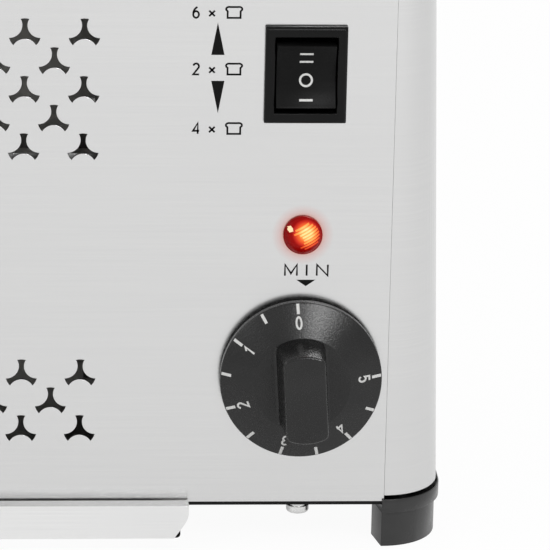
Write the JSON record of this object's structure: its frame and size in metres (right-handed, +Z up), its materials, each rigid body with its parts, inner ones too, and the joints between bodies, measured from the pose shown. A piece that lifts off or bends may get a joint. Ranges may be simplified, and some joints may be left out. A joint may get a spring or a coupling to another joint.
{
  "type": "commercial toaster",
  "caption": "Counter-top commercial toaster: steel casing with bread slots on top, lift lever, crumb tray, rocker switch, pilot lamp and minute-timer knob.",
  "frame": {"origin": "centre of the footprint box on the table, at the feet's undersides", "axes": "+X to the right seen from the front, +Y to the rear, +Z up; the front panel faces -Y"},
  "size_m": [0.4532, 0.262, 0.225],
  "materials": {
    "stainless": "fine brushed stainless sheet, satin",
    "dark_base": "dark painted steel, satin",
    "chamber_steel": "aluminised steel sheet, dull",
    "black_foot": "moulded black plastic, satin",
    "screw_steel": "bright plated steel",
    "mica": "pressed mica sheet, matt",
    "heating_ribbon": "oxidised resistance ribbon",
    "guard_wire": "bright steel wire",
    "lift_steel": "zinc-plated steel",
    "polished_rod": "ground steel rod",
    "bush_brass": "turned brass",
    "black_knob": "moulded black plastic, fine grain",
    "switch_black": "black plastic, semi-gloss",
    "timer_case": "pale moulded timer case",
    "lamp_red": "clear red ribbed lens, lit from behind",
    "holder_black": "black nylon",
    "terminal_white": "glazed porcelain block"
  },
  "bodies": {
    "casing": {"front_panel": "stainless", "rear_panel": "stainless", "top_cover": "stainless", "left_end_cover": "stainless", "right_end_cover": "stainless", "base_plate": "dark_base", "chamber_front_wall": "chamber_steel", "chamber_rear_wall": "chamber_steel", "left_bulkhead": "chamber_steel", "right_bulkhead": "chamber_steel", "tray_rails": "chamber_steel", "foot_front_left": "black_foot", "foot_front_right": "black_foot", "foot_rear_left": "black_foot", "foot_rear_right": "black_foot", "foot_screws": "screw_steel", "base_screws": "screw_steel", "heater_board_1": "mica", "heater_board_2": "mica", "heater_board_3": "mica", "heater_board_4": "mica", "heater_board_5": "mica", "heater_board_6": "mica", "heater_board_7": "mica", "heating_ribbon_1": "heating_ribbon", "heating_ribbon_2": "heating_ribbon", "heating_ribbon_3": "heating_ribbon", "heating_ribbon_4": "heating_ribbon", "heating_ribbon_5": "heating_ribbon", "heating_ribbon_6": "heating_ribbon", "heating_ribbon_7": "heating_ribbon", "wire_guard_1": "guard_wire", "wire_guard_2": "guard_wire", "wire_guard_3": "guard_wire", "wire_guard_4": "guard_wire", "wire_guard_5": "guard_wire", "wire_guard_6": "guard_wire", "wire_guard_7": "guard_wire", "guide_rods": "polished_rod", "switch_housing": "switch_black", "timer_body": "timer_case", "lamp_lens": "lamp_red", "lamp_holder": "holder_black", "cable_gland": "holder_black", "terminal_block": "terminal_white"},
    "carriage": {"bread_rack_1": "guard_wire", "bread_rack_2": "guard_wire", "bread_rack_3": "guard_wire", "bread_rack_4": "guard_wire", "bread_rack_5": "guard_wire", "bread_rack_6": "guard_wire", "lift_frame": "lift_steel", "guide_bushes": "bush_brass", "lever_arm": "lift_steel", "lever_knob": "black_knob"},
    "timer_dial": {"timer_shaft": "polished_rod", "timer_knob": "black_knob"},
    "rocker": {"switch_rocker": "switch_black"},
    "tray": {"crumb_tray": "stainless", "lip_pads": "black_foot"}
  },
  "joints": [
    {"name": "lift_slide", "type": "slide", "parent": "casing", "child": "carriage", "axis": [0, 0, 1], "range_m": [-0.075, 0]},
    {"name": "timer_turn", "type": "hinge", "parent": "casing", "child": "timer_dial", "pos_m": [0.1796, -0.105, 0.0573], "axis": [0, 1, 0], "range_deg": [0, 270]},
    {"name": "rocker_tilt", "type": "hinge", "parent": "casing", "child": "rocker", "pos_m": [0.1791, -0.102, 0.1555], "axis": [1, 0, 0], "range_deg": [-8, 8]},
    {"name": "tray_slide", "type": "slide", "parent": "casing", "child": "tray", "axis": [0, -1, 0], "range_m": [0, 0.15]}
  ]
}
